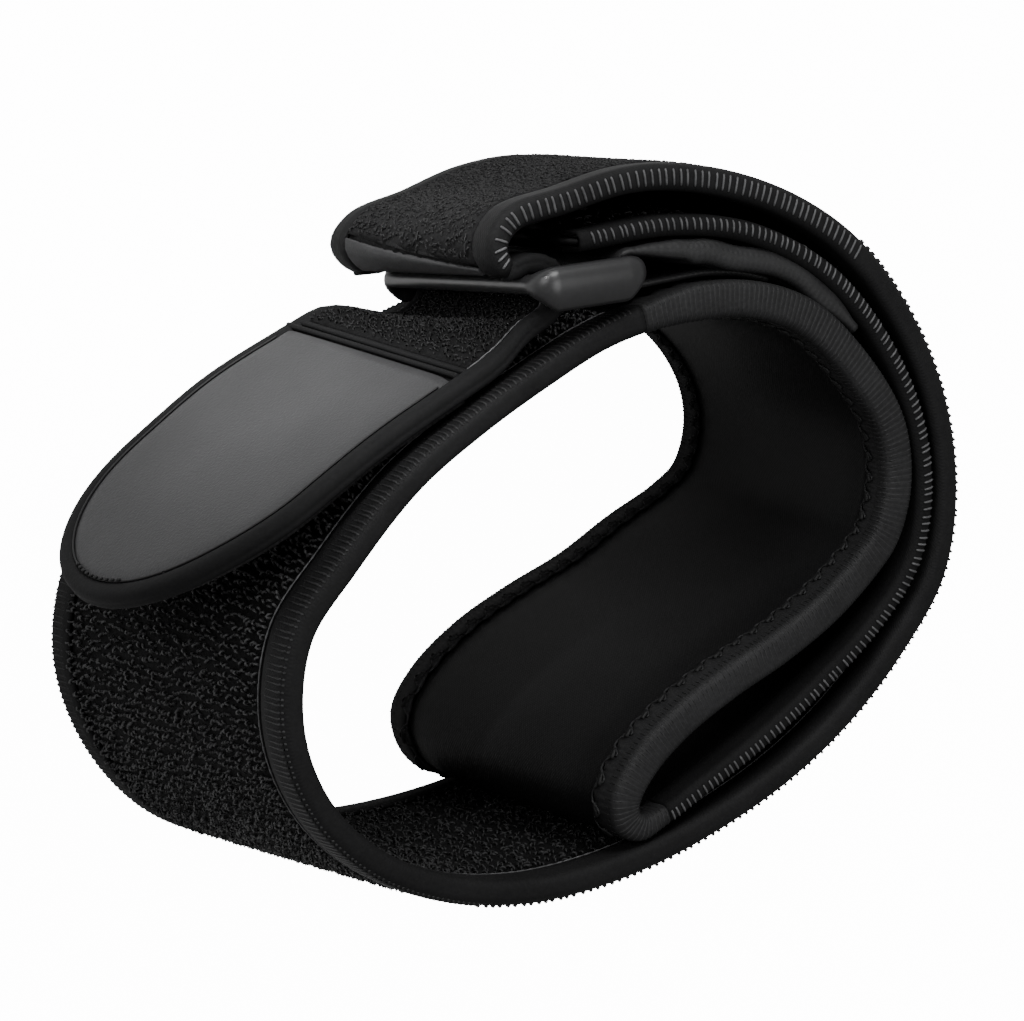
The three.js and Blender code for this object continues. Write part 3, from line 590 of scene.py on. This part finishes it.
padCloth = {"crown": 0.12, "pucker": 0.45}
padBody = boundWall("pad_wall", padRun, endRun, 1.0, crown=padCloth["crown"])
dress(padBody, "padSatin", "pad_satin", "pad")
for far in (False, True):
    word = "far" if far else "near"
    edge = bindingTape(f"pad_binding_{word}", padRun, legRun, far, step=0.5, pucker=padCloth["pucker"])
    dress(edge, "padBinding", "binding", f"pad_edge_{word}")
    edge = bindingTape(f"leg_binding_{word}", legRun + clear["legGap"], endRun, far)
    dress(edge, "legBinding", "binding")
print("pad made")


# an oval of bars and caps: thick and deep go from bar to cap with |sin angle|, and under each cap the section hangs
# down by belly (1 - (2 x / across)^2)
def makeRing(turns=24, sides=20):
    quarter = np.linspace(0, np.pi / 2, turns)
    angles, across, up = [], [], []
    for k, (signX, signY) in enumerate(((1, 1), (-1, 1), (-1, -1), (1, -1))):
        angles.append(quarter + k * np.pi / 2)
        across.append(np.full(turns, signX * (ring["across"] / 2 - ring["corner"])))
        up.append(np.full(turns, signY * (ring["long"] / 2 - ring["corner"])))
    angle, across, up = (np.concatenate(each)[:, None] for each in (angles, across, up))
    outX, outZ = np.cos(angle), np.sin(angle)
    cap = np.abs(outZ)
    thick = (ring["bar"] + (ring["cap"] - ring["bar"]) * cap) / 2
    deep = (ring["bar"] + (ring["capDeep"] - ring["bar"]) * cap) / 2
    section = (np.arange(sides) * 2 * np.pi / sides)[None]
    reach = ring["corner"] - deep + deep * np.cos(section)
    alongRing = across + outX * reach
    height = ringHeight + up + outZ * reach
    offset = thick * np.sin(section) - ring["sag"] * cap
    belly = np.clip(1 - (2 * alongRing / ring["across"]) ** 2, 0, 1) * cap
    lower = np.clip(-np.sin(section), 0, 1) * cap
    offset = offset + lower * ((1 - ring["under"]) * thick - ring["belly"] * belly)
    points = leaningWithRing(ringCentre[0] + alongRing - offset * ring["turn"],
                             ringCentre[1] + alongRing * ring["turn"] + offset, height)
    faces = gridFaces(points.shape[0], sides, roundRows=True, roundColumns=True)
    return weldAndTurnOut(putMesh("oval_ring", points, faces))


dress(makeRing(), "ringPlastic", "ring_plastic", "ring")
print("ring made")


# the keeper tape: its upper leg lies on the pad, it turns round the ring's right bar, and its lower leg goes back
# under the upper one
def makeTape():
    firstRun = padRun + tape["start"]
    tapeWide = ring["long"] - 2 * (ring["capDeep"] + tape["room"])
    high, low = ringHeight + tapeWide / 2, ringHeight - tapeWide / 2

    def onPad(runs, layer):
        near, far = strip.at(strip.near, runs), strip.at(strip.far, runs)
        wide = strip.wideAt(runs)
        out = -(strip.halfAt(runs) + clear["slack"] + (tape["thick"] + clear["layer"]) * layer + tape["thick"] / 2)
        shift = strip.at(strip.right, runs) * out[:, None]
        upperEdge = near + (far - near) * ((near[:, 2] - high) / wide)[:, None] + shift
        lowerEdge = far + (near - far) * ((low - far[:, 2]) / wide)[:, None] + shift
        return upperEdge, lowerEdge

    upper = np.linspace(firstRun + tape["long"], firstRun, 9)
    fade = np.clip((upper - firstRun - tape["under"]) / ((tape["long"] - tape["under"]) / 2), 0, 1)
    layer = 1 - fade * fade * (3 - 2 * fade) + tape["rise"] * np.exp(
        -((upper - firstRun - tape["swellAt"]) / tape["swellLong"]) ** 2)
    legs = [onPad(upper, layer), onPad(np.linspace(firstRun, firstRun + tape["under"], 4), np.zeros(4))]
    reach = ring["bar"] / 2 + clear["slack"] + tape["thick"] / 2
    turn = np.radians(tape["turn"])
    place = ringCentre + barOffset + reach * np.column_stack([np.cos(turn), np.sin(turn)])
    bar = [leaningWithRing(place[:, 0], place[:, 1], z) for z in (high, low)]
    near = np.vstack([legs[0][0], bar[0], legs[1][0]])
    far = np.vstack([legs[0][1], bar[1], legs[1][1]])
    path = Strip(near, far, np.full(len(near), tape["thick"]))
    runs = np.linspace(0, path.runs[-1], int(path.runs[-1] / 0.5))
    wide = path.wideAt(runs)[:, None]
    h = tape["thick"] / 2
    deep = np.array(tape["hemDeep"])[None] * np.ones_like(wide)
    nearDeep = np.hstack([deep, wide - deep[:, ::-1], wide, wide - deep, deep[:, ::-1], 0 * wide])
    oneFace = np.array(tape["hemHigh"])
    # the upper leg is plumper on its outer side, where the tape is rolled over at its hems
    upperLong = np.linalg.norm(np.diff((legs[0][0] + legs[0][1]) / 2, axis=0), axis=1).sum()
    fromStart = np.clip(runs / 6, 0.2, 1)[:, None]
    plump = tape["plump"] * np.clip((upperLong + 6 - runs) / 5, 0, 1)[:, None] * fromStart
    fill = tape["fill"] * np.clip((upperLong - runs) / 1.5, 0, 1)[:, None] * fromStart
    outer = oneFace[None] * (h + plump)
    inner = oneFace[None] * (h + fill)
    offs = np.hstack([outer, outer[:, ::-1], plump / 2, -inner, -inner[:, ::-1], plump / 2])
    after, over = tape["lowerAfter"]
    letIn = tape["lowerIn"] * np.clip((runs - upperLong - after) / over, 0, 1)[:, None]
    nearDeep = nearDeep + letIn * (1 - nearDeep / wide)
    return carried("keeper_tape_cloth", runs, nearDeep, offs, path)


dress(makeTape(), "tapeWeave", "tape_webbing", "keeper_tape")
print("keeper tape made")

pile = {"edge": 5.6, "turned": 0.7, "lean": 0.25, "tall": (0.6, 1.25)}
# each kind's steps along and across, and its loops' height, half width, thread and how far they stray
pileKinds = {
    "loops": {"along": 1.25, "across": 0.85, "high": 0.55, "half": 0.3, "thread": 0.19, "stray": 0.17},
    "topNap": {"along": 0.75, "across": 0.7, "high": 0.2, "half": 0.25, "thread": 0.13, "stray": 0.4},
    "sideNap": {"along": 1.25, "across": 1.2, "high": 0.5, "half": 0.45, "thread": 0.18, "stray": 0.35},
    "insideNap": {"along": 1.25, "across": 1.15, "high": 0.4, "half": 0.4, "thread": 0.16, "stray": 0.35},
    "tabNap": {"along": 0.8, "across": 0.75, "high": 0.42, "half": 0.3, "thread": 0.12, "stray": 0.4},
    "legFuzz": {"along": 2.2, "across": 3.0, "high": 0.3, "half": 0.5, "thread": 0.12, "stray": 0.5},
    "bandFuzz": {"along": 2.4, "across": 3.0, "high": 0.3, "half": 0.5, "thread": 0.12, "stray": 0.5}}


# loops in rows across the strip: each is an arch over (-w, 0), (-0.75 w, 0.8 h), (0, 1.05 h), (0.75 w, 0.8 h), (w, 0),
# turned and leaning by chance
def pileLoops(name, kind, startRun, stopRun, side, edgeNear, edgeFar, startSkew=0.0, base=0.0):
    kind = pileKinds[kind]
    rowsAt = np.arange(startRun, stopRun, kind["along"])
    wide = strip.wideAt(rowsAt)
    most = int(np.max(wide - edgeNear - edgeFar) / kind["across"])
    runs = rowsAt[:, None] + chance.normal(0, kind["stray"] * kind["along"], (len(rowsAt), most))
    deeps = edgeNear + (np.arange(most)[None] + 0.5) * (wide[:, None] - edgeNear - edgeFar) / most
    deeps = deeps + chance.normal(0, kind["stray"] * kind["across"], deeps.shape)
    keep = runs > startRun + startSkew * deeps / wide[:, None]
    runs, deeps = runs[keep], deeps[keep]
    spin = chance.normal(0, pile["turned"], runs.shape)
    tall = kind["high"] * chance.uniform(*pile["tall"], runs.shape)
    lean = chance.normal(0, pile["lean"], runs.shape) * kind["high"]
    arch = np.array([[-1, 0], [-0.75, 0.8], [0, 1.05], [0.75, 0.8], [1, 0]])
    shiftRun = arch[None, :, 0] * kind["half"] * np.sin(spin)[:, None] + lean[:, None] * arch[None, :, 1]
    shiftDeep = arch[None, :, 0] * kind["half"] * np.cos(spin)[:, None]
    out = strip.halfAt(runs)[:, None] + base - 0.1 + tall[:, None] * arch[None, :, 1]
    points = strip.point(runs[:, None] + shiftRun, deeps[:, None] + shiftDeep, side * out)
    return threads(name, points, kind["thread"], sides=3)


left, right = -1, 1
halfWay = (bottomRun + padRun) / 2
edge = pile["edge"]
for word, start, stop in (("lower", bottomRun, halfWay), ("upper", halfWay, padRun - 3)):
    dress(pileLoops(f"band_loops_{word}", "loops", start, stop, left, edge + 0.6, edge - 1), "pileLoops", "loop_pile")
# the top's nap takes a finish of its own, cut down against the glow lamp's spill: painted shade
dress(pileLoops("band_nap_top", "topNap", topFrom + 0.5, topStop, left, topInset + 0.3, topInset + 0.3,
                startSkew=topCloth["skew"], base=topCloth["lift"]), "topNap", "loop_pile")
dress(pileLoops("band_nap_side", "sideNap", topStop, bottomRun, left, edge, edge), "napFibres", "loop_pile")
dress(pileLoops("band_nap_inside", "insideNap", insideStart, padRun - 4, right, edge + 1, edge), "napFibres",
      "loop_pile")
dress(pileLoops("tab_nap", "tabNap", tab["pileFrom"] + 0.5, tabEndRun - 10, left, tab["pileNear"] + 0.3,
                tab["pileFar"] + 0.2, base=tab["pileLift"]), "tabNap", "tab_fabric")
# a few loops stand up from the faces that show between the pad, its leg and the band
dress(pileLoops("leg_fuzz", "legFuzz", foldRun + 6, endRun - 3, right, 3, 8), "pileLoops", "loop_pile")
dress(pileLoops("band_fuzz", "bandFuzz", topStop, insideStart, right, 3, 8), "pileLoops", "loop_pile")
print("pile made")

# stitches over the edges: turns are degrees round the rim, from -90 on the outer face to 90 on the inner one; ends are
# mm of thread down each face; the finishes are the near edge's and the far edge's
ribStart = bottomRun + stretch["ribsAfter"]
edgeThreads = [
    {"name": "band_overlock", "start": bandRun + 1, "stop": topStop, "step": 1.12, "turns": (-22, 22), "ends": (0, 0),
     "thread": 0.19, "slant": 0.25, "lift": 0.1, "stray": 0.07, "finishes": ("thread", "ribThread")},
    {"name": "band_serging", "start": topStop, "stop": ribStart, "step": 1.2, "turns": (-88, -58), "ends": (0.2, 0),
     "thread": 0.24, "slant": 0.15, "lift": 0.1, "stray": 0.08, "finishes": ("ribThread", "ribThread")},
    {"name": "band_ribs", "start": ribStart, "stop": padRun - 1, "step": 0.82, "turns": (-90, -40), "ends": (2.6, 0),
     "thread": 0.19, "slant": 0.0, "lift": 0.0, "stray": 0.08, "finishes": ("ribThread", "ribThread")},
    {"name": "leg_overlock", "start": legRun + 0.4, "stop": endRun - 1, "step": 1.02, "turns": (-12, 40),
     "ends": (0, 0), "thread": 0.18, "slant": 0.3, "lift": 0.1, "stray": 0.1, "finishes": ("thread", "thread")},
    {"name": "pad_ribs", "start": padRun + 1, "stop": legRun, "step": 0.8, "turns": (-60, 90), "ends": (0, 0.9),
     "thread": 0.1, "slant": 0.0, "lift": 0.03, "stray": 0.08, "finishes": ("ribThread", "ribThread")}]


# deep = bend - bow and off = flat + sin (bend + lift), with bow = cos (bend + lift), and an end point down each face
def edgeStitches(row, word, points=7):
    far = word == "far"
    runs = np.arange(row["start"], row["stop"], row["step"])
    runs = runs + chance.normal(0, row["step"] * row["stray"], runs.shape)
    half = strip.halfAt(runs)[:, None] + band["proud"]
    bend = np.minimum(band["round"], half * 0.85)
    turn = np.radians(np.linspace(*row["turns"], points - 2))[None]
    flat, reach = half - bend, bend + row["lift"]
    deep = bend - reach * np.cos(turn)
    off = np.sign(turn) * (np.abs(np.sin(turn)) * reach + flat * np.clip(np.abs(turn) * 4, 0, 1))
    deeps = np.hstack([deep[:, :1] + row["ends"][0], deep, deep[:, -1:] + row["ends"][1]])
    offs = np.hstack([off[:, :1], off, off[:, -1:]])
    along = runs[:, None] + row["slant"] * np.linspace(-0.5, 0.5, points)[None]
    swell = row["thread"] * np.sin(np.linspace(0.3, np.pi - 0.3, points)) ** 0.5
    # an end with no length and no slant would repeat its point and make faces with no area, so it is left out
    keep = np.ones(points, bool)
    keep[[0, -1]] = [bool(end or row["slant"]) for end in row["ends"]]
    deeps, offs, along, swell = deeps[:, keep], offs[:, keep], along[:, keep], swell[keep]
    wide = strip.wideAt(runs)[:, None]
    return threads(f"{row['name']}_{word}", strip.point(along, wide - deeps if far else deeps, offs),
                   np.broadcast_to(swell, deeps.shape))


for far in (False, True):
    for row in edgeThreads:
        dress(edgeStitches(row, "far" if far else "near"), row["finishes"][far], "binding")

seam = {"thread": 0.14, "pitch": 1.6, "bandDeep": 5.75, "tabDeep": 3.5}


# seam = one thread at a constant depth from an edge, with a bead for each stitch
def seamLine(name, startRun, stopRun, deep, side, lift=0.1):
    runs = np.arange(startRun, stopRun, seam["pitch"] / 4)
    points = strip.point(runs, np.full(len(runs), deep), side * (strip.halfAt(runs) + lift))
    size = seam["thread"] * (0.75 + 0.25 * np.cos(2 * np.pi * runs / seam["pitch"]))
    return threads(name, points[None], size[None], sides=5)


dress(seamLine("band_seam_outside", bottomRun + 10, padRun - 2, seam["bandDeep"], left), "thread", "binding")
dress(seamLine("band_seam_inside", insideStart, padRun - 2, seam["bandDeep"], right), "thread", "binding")
dress(seamLine("tab_panel_seam", tab["pileFrom"], tabEndRun - 10, seam["tabDeep"], left, lift=0.12), "thread",
      "tab_fabric")
zig = {"low": 3.2, "high": 5.5, "pitch": 3.3, "thread": 0.15, "holeDeep": 4.3, "holeLong": 1.4, "holeThread": 0.42}


# zigzag = deep goes up and down by the pitch, on the pad's inner face along its binding
def zigzag(name, startRun, stopRun, deepLow, deepHigh, pitch, side, radius, far):
    runs = np.arange(startRun, stopRun, pitch / 12)
    phase = (runs / pitch) % 1
    tri = np.clip(1.25 * (1 - np.abs(2 * phase - 1)), 0, 1)
    deep = deepLow + (deepHigh - deepLow) * tri
    over = np.where(deep < band["deep"], band["proud"] + 0.1, 0.12)
    points = strip.point(runs, strip.wideAt(runs) - deep if far else deep, side * (strip.halfAt(runs) + over))
    return threads(name, points[None], radius, sides=5)


# the needle's holes: short dark stitches in the notches of the zigzag, painted shade where the holes show dark
def notches(name, startRun, stopRun, deep, pitch, side, long, radius, far):
    runs = np.arange(np.ceil(startRun / pitch) * pitch, stopRun, pitch)
    along = runs[:, None] + np.array([-0.5, -0.2, 0.2, 0.5])[None] * long
    deeps = deep + np.array([0.25, 0.08, -0.08, -0.25])[None] + 0 * along
    offs = side * (strip.halfAt(runs)[:, None] + band["proud"] + 0.02 + 0 * along)
    wide = strip.wideAt(runs)[:, None]
    return threads(name, strip.point(along, wide - deeps if far else deeps, offs), radius, sides=5)


for far in (False, True):
    word = "far" if far else "near"
    dress(zigzag(f"pad_zigzag_{word}", padRun + 1, legRun, zig["low"], zig["high"], zig["pitch"], right,
                 zig["thread"], far), "ribThread", "binding")
    dress(notches(f"pad_notches_{word}", padRun + 2, legRun, zig["holeDeep"], zig["pitch"], right,
                  zig["holeLong"], zig["holeThread"], far), "paintedShadeThread", "binding")
print("stitches made")

# each sheet of cloth: name, flat width, flat length, flat area or None, how it is held, what it rests on, and the
# first words of the names of what is sewn on
sheets = [
    ("tab_body", 0.05, tabEndRun * mm, 0.00386, "folded", (), ("tab_groove", "tab_stitches", "tab_welts",
                                                               "tab_pile_panel", "tab_nap", "tab_panel_seam")),
    ("tab_grip_patch", 0.0445, 0.047, 0.00188, "laid", ("tab_body",), ()),
    ("tab_hook_strip", 0.0451, 0.048, 0.00195, "laid", ("tab_body",), ()),
    ("band_wall", 0.054, (padRun - bandRun) * mm, None, "folded", (), ("band_loops", "band_nap", "band_fold_facing",
                                                                       "band_top_panel", "band_seam", "band_fuzz")),
    ("keeper_tape_cloth", 0.043, 0.062, None, "folded", ("pad_wall",), ())]
for word in ("near", "far"):
    sheets += [
        (f"band_binding_{word}", 0.0136, (padRun - bandRun) * mm, None, "folded", (),
         (f"band_overlock_{word}", f"band_serging_{word}", f"band_ribs_{word}")),
        (f"pad_binding_{word}", 0.0148, (legRun - padRun) * mm, None, "folded", (),
         (f"pad_ribs_{word}", f"pad_zigzag_{word}", f"pad_notches_{word}")),
        (f"leg_binding_{word}", 0.0136, (endRun - legRun) * mm, None, "folded", (), (f"leg_overlock_{word}",))]
print("sheets:", len(sheets))

look = {"lens": 125.75, "sensor": 36, "place": (-0.2469, 0.0961, 0.44092), "world": 0.26, "floorSeen": 14.0,
        "floorLit": 0.1, "floorHalf": 4.0, "floorBelow": 0.0006}
lights = [  # name, place, target, size, power, and the cone of a spot
    ("key", (0.0, 0.33, 0.26), (-0.02, 0.01, 0.03), 0.2, 0.95, None),
    ("side", (-0.5, 0.3, 0.4), (0, 0, 0.03), 0.35, 1.1, None),
    ("top", (0.1, 0.1, 0.8), (0, 0, 0.03), 0.5, 1.9, None),
    ("glow", (-0.25, 0.35, 0.3), (-0.026, 0.023, 0.029), 0.012, 18.0, 0.14)]


def makeFloor():
    mesh = bpy.data.meshes.new("floor")
    size, low = look["floorHalf"], -look["floorBelow"]
    mesh.from_pydata([(-size, -size, low), (size, -size, low), (size, size, low), (-size, size, low)], [],
                     [(0, 1, 2, 3)])
    floor = bpy.data.objects.new("floor", mesh)
    bpy.context.scene.collection.objects.link(floor)
    material = bpy.data.materials.new("paleFloor")
    material.use_nodes = True
    shader = material.node_tree.nodes["Principled BSDF"]
    shader.inputs["Base Color"].default_value = (0.9, 0.9, 0.9, 1)
    shader.inputs["Roughness"].default_value = 0.9
    shader.inputs["Specular IOR Level"].default_value = 0.1
    shader.inputs["Emission Color"].default_value = (1, 1, 1, 1)
    path = addNode(material.node_tree, "ShaderNodeLightPath")
    glow = addNode(material.node_tree, "ShaderNodeMapRange")
    glow.inputs["To Min"].default_value, glow.inputs["To Max"].default_value = look["floorLit"], look["floorSeen"]
    material.node_tree.links.new(path.outputs["Is Camera Ray"], glow.inputs["Value"])
    material.node_tree.links.new(glow.outputs["Result"], shader.inputs["Emission Strength"])
    mesh.materials.append(material)


def makeLight(name, place, target, size, power, cone):
    data = bpy.data.lights.new(name, "SPOT" if cone else "AREA")
    data.energy = power
    if cone:
        data.spot_size, data.spot_blend, data.shadow_soft_size = cone, 1.0, size
    else:
        data.shape, data.size = "DISK", size
    light = bpy.data.objects.new(name, data)
    way = (np.array(target) - np.array(place)).astype(float)
    z = -way / np.linalg.norm(way)
    x = np.cross([0, 0, 1.0], z)
    x /= np.linalg.norm(x)
    y = np.cross(z, x)
    light.matrix_world = Matrix(np.vstack([np.column_stack([x, y, z, place]), [0, 0, 0, 1]]).tolist())
    bpy.context.scene.collection.objects.link(light)


makeFloor()
world = bpy.data.worlds.new("studio")
world.use_nodes = True
world.node_tree.nodes["Background"].inputs["Color"].default_value = (1, 1, 1, 1)
world.node_tree.nodes["Background"].inputs["Strength"].default_value = look["world"]
bpy.context.scene.world = world
for row in lights:
    makeLight(*row)
print("lights:", len(lights))

camera = bpy.data.objects.new("camera", bpy.data.cameras.new("camera"))
camera.data.lens, camera.data.sensor_width, camera.data.sensor_fit = look["lens"], look["sensor"], "HORIZONTAL"
camera.data.clip_start, camera.data.clip_end = 0.01, 20
axes = np.array([[0.8550, 0.1010, -0.5087], [0, 0.9808, 0.1948], [0.5186, -0.1666, 0.8386]])
camera.matrix_world = Matrix(np.vstack([np.column_stack([axes, look["place"]]), [0, 0, 0, 1]]).tolist())
bpy.context.scene.collection.objects.link(camera)
bpy.context.scene.camera = camera

print("scene ready")
